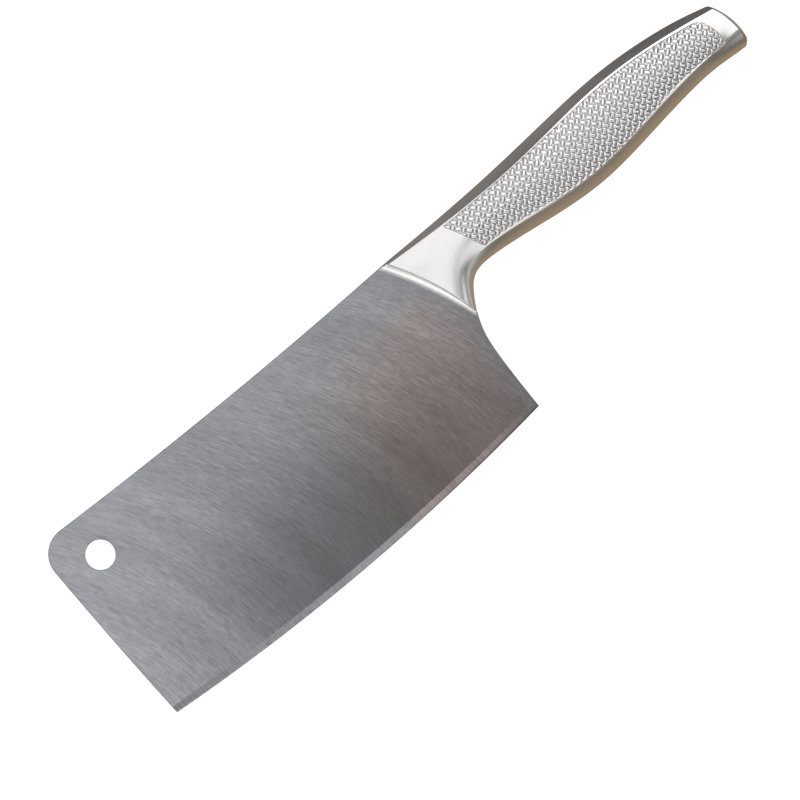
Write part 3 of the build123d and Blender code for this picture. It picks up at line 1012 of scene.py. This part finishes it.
def fibre_material():
    n = Surface("pressed fibre")
    fibre = n.noise((0.3, 4.0, 4.0), turn=20, detail=4, rough=0.6)
    n.set(Base_Color=n.mix(fibre, (0.20, 0.12, 0.06, 1), (0.42, 0.29, 0.17, 1)))
    n.set(Roughness=0.85, Normal=n.bump(fibre, 0.2, 0.6))
    return n.material


def sand_material():
    n = Surface("bonded sand")
    grain = n.noise((3.0, 3.0, 3.0), rough=0.7)
    n.set(Base_Color=n.mix(n.ramp(grain, 0.35, 0.65), (0.36, 0.27, 0.17, 1), (0.66, 0.55, 0.40, 1)))
    n.set(Roughness=0.9, Normal=n.bump(grain, 0.3, 0.8))
    return n.material


def floor_material():
    """Pale and matt to the eye. In the steel it shows as a brown card and a tan one."""
    n = Surface("pale floor")
    n.set(Base_Color=grey(FLOOR_TONE), Roughness=0.9)
    n.put(n.shader.inputs["Emission Color"], grey(1.0))
    n.put(n.shader.inputs["Emission Strength"], FLOOR_GLOW)
    place = n.place()
    side = n.ramp(place["Y"], *CARD_SPLIT)
    away = n.math("ABSOLUTE", n.math("SUBTRACT", place["Y"], CARD_MIDDLE))
    away = n.ramp(away, *CARD_FADE)
    brown = n.mix(away, BROWN_CARD, FAR_BROWN)
    brown = n.mix(n.ramp(place["X"], *BROWN_END), brown, FAR_BROWN)
    card = n.mix(side, n.mix(away, TAN_CARD, FAR_TAN), brown)
    cards = n.add("ShaderNodeEmission", {"Color": card, "Strength": 1.0})
    glossy = n.add("ShaderNodeLightPath").outputs["Is Glossy Ray"]
    blend = n.add("ShaderNodeMixShader", {0: glossy, 1: n.shader.outputs[0], 2: cards.outputs[0]})
    n.put(n.tree.nodes["Material Output"].inputs["Surface"], blend.outputs[0])
    return n.material


def paint(piece, *materials):
    piece.data.materials.clear()
    for material in materials:
        piece.data.materials.append(material)


# ---------------------------------------------------------------- stage
FLOOR_SIZE, FLOOR_TONE, FLOOR_GLOW = 3.0, 0.2, 0.92
BACKDROP, FILL = grey(0.93), grey(1.1)
# What the steel reflects above the horizon: the walls, then the room by the side, then the ceiling
WALLS = grey(0.6)
EDGE_ROOM, SPINE_ROOM = grey(0.10), grey(0.40)
BUTT_ROOM = (0.02, 0.035, 0.04, 1.0)
CEILING = grey(0.10)
TAN_CARD = (0.36, 0.27, 0.175, 1.0)
BROWN_CARD = (0.21, 0.19, 0.175, 1.0)
FAR_TAN, FAR_BROWN = (0.15, 0.132, 0.11, 1.0), (0.13, 0.122, 0.12, 1.0)
CARD_MIDDLE = 0.025  # the handle's line on the floor
CARD_SPLIT, CARD_FADE, BROWN_END = (0.015, 0.035), (0.030, 0.110), (0.080, 0.125)  # metres
VIEW_CENTRE = Vector((-21.0, -3.2, MIDDLE)) * MM
VIEW_WIDTH = 274.4 * MM
VIEW_TURN = math.radians(-39.40066)
CAMERA_HEIGHT = 4.0
SENSOR = 36.0
# Soft boxes, level and facing down: middle and size in metres, and brightness
BOX_LEVEL = 0.28
LIGHTS = {
    "grip_box": ((0.215, 0.13, BOX_LEVEL), (0.27, 0.10), 1.45),
    "spine_box": ((0.215, 0.365, BOX_LEVEL), (0.27, 0.37), 2.20),
    "heel_box": ((0.015, 0.235, BOX_LEVEL), (0.13, 0.47), 1.04),
    "gap_box": ((0.03, -0.045, BOX_LEVEL), (0.09, 0.07), 0.36),
    "blade_box": ((-0.15, 0.15, BOX_LEVEL), (0.30, 0.30), 1.06),
    "toe_box": ((-0.32, -0.10, BOX_LEVEL), (0.40, 0.20), 1.12),
    "neck_box": ((-0.06, -0.22, BOX_LEVEL), (0.18, 0.28), 1.00),
    "far_box": ((-0.34, -0.20, 1.00), (0.30, 0.32), 0.80),
    "butt_box": ((0.22, -0.055, BOX_LEVEL), (0.14, 0.27), 1.50),
    "grind_box": ((-0.32, -0.25, BOX_LEVEL), (0.40, 0.10), 0.60),
    "edge_box": ((-0.25, -0.44, BOX_LEVEL), (0.50, 0.18), 1.15),
}


def make_camera():
    data = bpy.data.cameras.new("camera")
    data.sensor_width = SENSOR
    data.lens = SENSOR * CAMERA_HEIGHT / VIEW_WIDTH
    data.clip_end = 5 * CAMERA_HEIGHT
    camera = bpy.data.objects.new("camera", data)
    camera.location = VIEW_CENTRE + Vector((0, 0, CAMERA_HEIGHT))
    camera.rotation_euler = (0, 0, VIEW_TURN)
    bpy.context.scene.collection.objects.link(camera)
    bpy.context.scene.camera = camera


def make_floor(low):
    """A square at the height of the cleaver's lowest point."""
    mesh = bpy.data.meshes.new("floor")
    turns = (-1, -1), (1, -1), (1, 1), (-1, 1)
    mesh.from_pydata([(FLOOR_SIZE * x, FLOOR_SIZE * y, low) for x, y in turns], [], [(0, 1, 2, 3)])
    floor = bpy.data.objects.new("floor", mesh)
    bpy.context.scene.collection.objects.link(floor)
    paint(floor, floor_material())
    floor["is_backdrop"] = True


def make_lights():
    for name, (middle, size, brightness) in LIGHTS.items():
        data = bpy.data.lights.new(name, "AREA")
        data.shape = "RECTANGLE"
        data.size, data.size_y = size
        data.energy = brightness * math.pi * size[0] * size[1]
        light = bpy.data.objects.new(name, data)
        light.location = middle
        light.visible_camera = False
        bpy.context.scene.collection.objects.link(light)


def make_world():
    """Even white light on the floor. The steel sees a dim room with paler walls."""
    world = bpy.data.worlds.new("studio")
    bpy.context.scene.world = world
    world.use_nodes = True
    n = Nodes(world.node_tree)
    direction = n.add("ShaderNodeTexCoord").outputs["Generated"]
    ray = n.add("ShaderNodeSeparateXYZ", {0: direction}).outputs
    side = n.mix(n.ramp(ray["Y"], -0.1, 0.4), EDGE_ROOM, SPINE_ROOM)
    side = n.mix(n.ramp(ray["X"], 0.6, 0.9), side, BUTT_ROOM)
    room = n.mix(n.ramp(ray["Z"], 0.75, 0.4), CEILING, side)
    room = n.mix(n.ramp(ray["Z"], 0.48, 0.32), room, WALLS)
    path = n.add("ShaderNodeLightPath").outputs
    seen = n.mix(path["Is Glossy Ray"], FILL, room)
    seen = n.mix(path["Is Camera Ray"], seen, BACKDROP)
    n.put(n.tree.nodes["Background"].inputs["Color"], seen)


# ---------------------------------------------------------------- the cleaver
left, right, rim = make_shells()
blade = make_blade()
welds = make_neck_welds()
seam = make_seam(rim)

satin = handle_material()
paint(left, satin)
paint(right, satin)
paint(
    blade,
    blade_material("brushed blade steel", dark=0.21, light=0.33, rough=0.25),
    blade_material("ground edge steel", dark=0.155, light=0.215, rough=0.22),
    blade_material("sharpened edge steel", dark=0.80, light=0.90, rough=0.18),
)
bright = weld_material()
for item in (*welds, seam):
    paint(item, bright)
raw = inner_material()
paint(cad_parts["neck_plug"], raw)
paint(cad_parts["tang_welds"], raw)
paint(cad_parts["filling_stopper"], fibre_material())
paint(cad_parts["balance_filling"], sand_material())

make_camera()
make_world()
make_lights()
bpy.context.scene.view_settings.view_transform = "Standard"
bpy.context.view_layer.update()
make_floor(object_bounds()[0].z)
